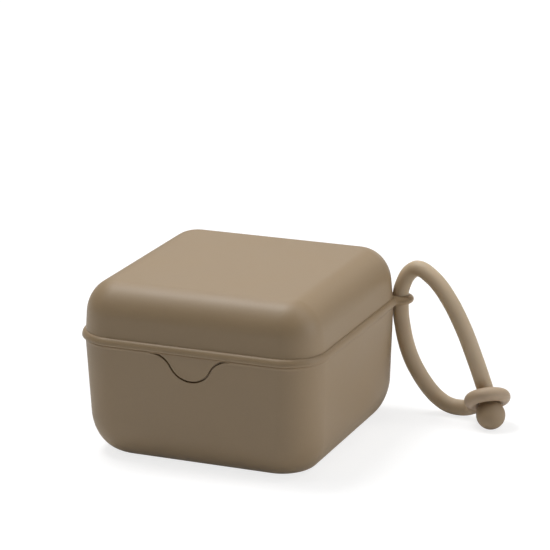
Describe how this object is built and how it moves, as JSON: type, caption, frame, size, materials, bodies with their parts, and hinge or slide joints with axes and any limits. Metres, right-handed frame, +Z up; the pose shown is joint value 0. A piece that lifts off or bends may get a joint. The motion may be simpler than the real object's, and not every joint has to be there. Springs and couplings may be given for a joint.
{
  "type": "pacifier box",
  "caption": "Small square box with soft corners, a domed lid hinged at the back, a finger tab in front and a round silicone strap looped through an eyelet.",
  "frame": {"origin": "middle of the flat face that the box rests on", "axes": "+Z up; -Y towards the front with the finger tab; +X towards the side where the strap hangs"},
  "size_m": [0.1195, 0.0862, 0.0566],
  "materials": {
    "shell_plastic": "fine matte",
    "strap_silicone": "matte"
  },
  "bodies": {
    "base": {"base_tub": "shell_plastic", "strap_cord": "strap_silicone", "strap_ring": "strap_silicone", "strap_ball": "strap_silicone"},
    "lid": {"lid": "shell_plastic"}
  },
  "joints": [
    {"name": "lid_hinge", "type": "hinge", "parent": "base", "child": "lid", "pos_m": [0, 0.043, 0.0372], "axis": [-1, 0, 0], "range_deg": [0, 105]}
  ]
}
